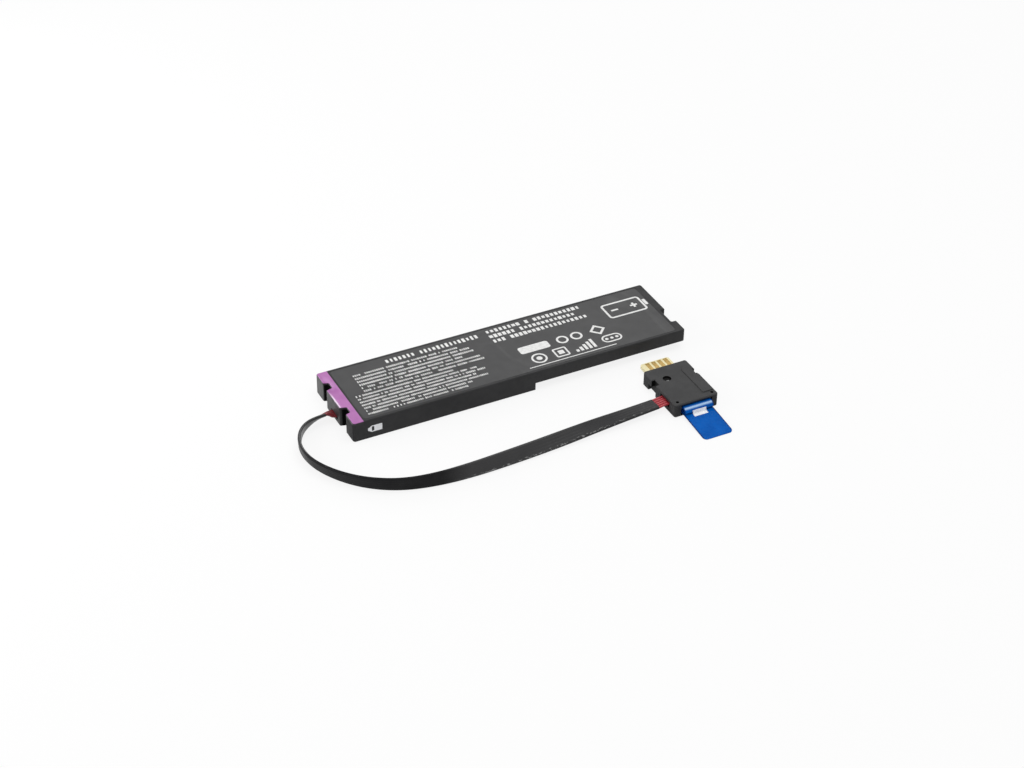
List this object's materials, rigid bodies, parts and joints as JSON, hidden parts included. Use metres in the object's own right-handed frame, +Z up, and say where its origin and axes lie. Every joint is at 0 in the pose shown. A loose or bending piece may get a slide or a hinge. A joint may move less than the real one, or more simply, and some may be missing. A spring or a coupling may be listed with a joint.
{
  "type": "raid controller battery",
  "caption": "Flat stepped battery pack with keyed ends and a purple touch strip, a flat cable, and a card-edge plug with a looped pull tab, to keep a disk controller's memory powered.",
  "frame": {"origin": "on the floor under the middle of the pack's case", "axes": "+X along the pack from its cable end to its thin far end, +Y away from the plug, +Z up"},
  "size_m": [0.1901, 0.1061, 0.01],
  "materials": {
    "case_plastic": "matte moulded",
    "strip_plastic": "satin",
    "label_film": "satin film",
    "cell_foil": "laminated foil",
    "pad_foam": "adhesive pad",
    "lead_metal": "nickel strip",
    "board_laminate": "coated board",
    "chip_plastic": "moulded",
    "capacitor_body": "fired",
    "wire_red": "smooth insulation",
    "jacket_black": "soft jacket",
    "plug_plastic": "matte moulded",
    "card_laminate": "bare laminate",
    "contact_gold": "gold plate",
    "bar_metal": "drawn",
    "tab_film": "gloss film",
    "patch_film": "adhesive patch"
  },
  "bodies": {
    "root": {"lower_case": "case_plastic", "top_cover": "case_plastic", "end_strip": "strip_plastic", "top_label": "label_film", "lower_cell": "cell_foil", "upper_cell": "cell_foil", "far_cell": "cell_foil", "lower_cell_pad": "pad_foam", "cell_tape": "pad_foam", "far_cell_pad": "pad_foam", "far_leads": "lead_metal", "control_board": "board_laminate", "power_switches": "chip_plastic", "gauge_chip": "chip_plastic", "cell_fuse": "capacitor_body", "sense_resistor": "chip_plastic", "filter_capacitors": "capacitor_body", "pack_wires": "wire_red", "cable_jacket": "jacket_black", "plug_wires": "wire_red", "plug_upper_shell": "plug_plastic", "plug_lower_shell": "plug_plastic", "plug_card": "card_laminate", "edge_contacts": "contact_gold", "tab_bar": "bar_metal", "pull_tab": "tab_film", "loop_tape": "patch_film"}
  },
  "joints": []
}
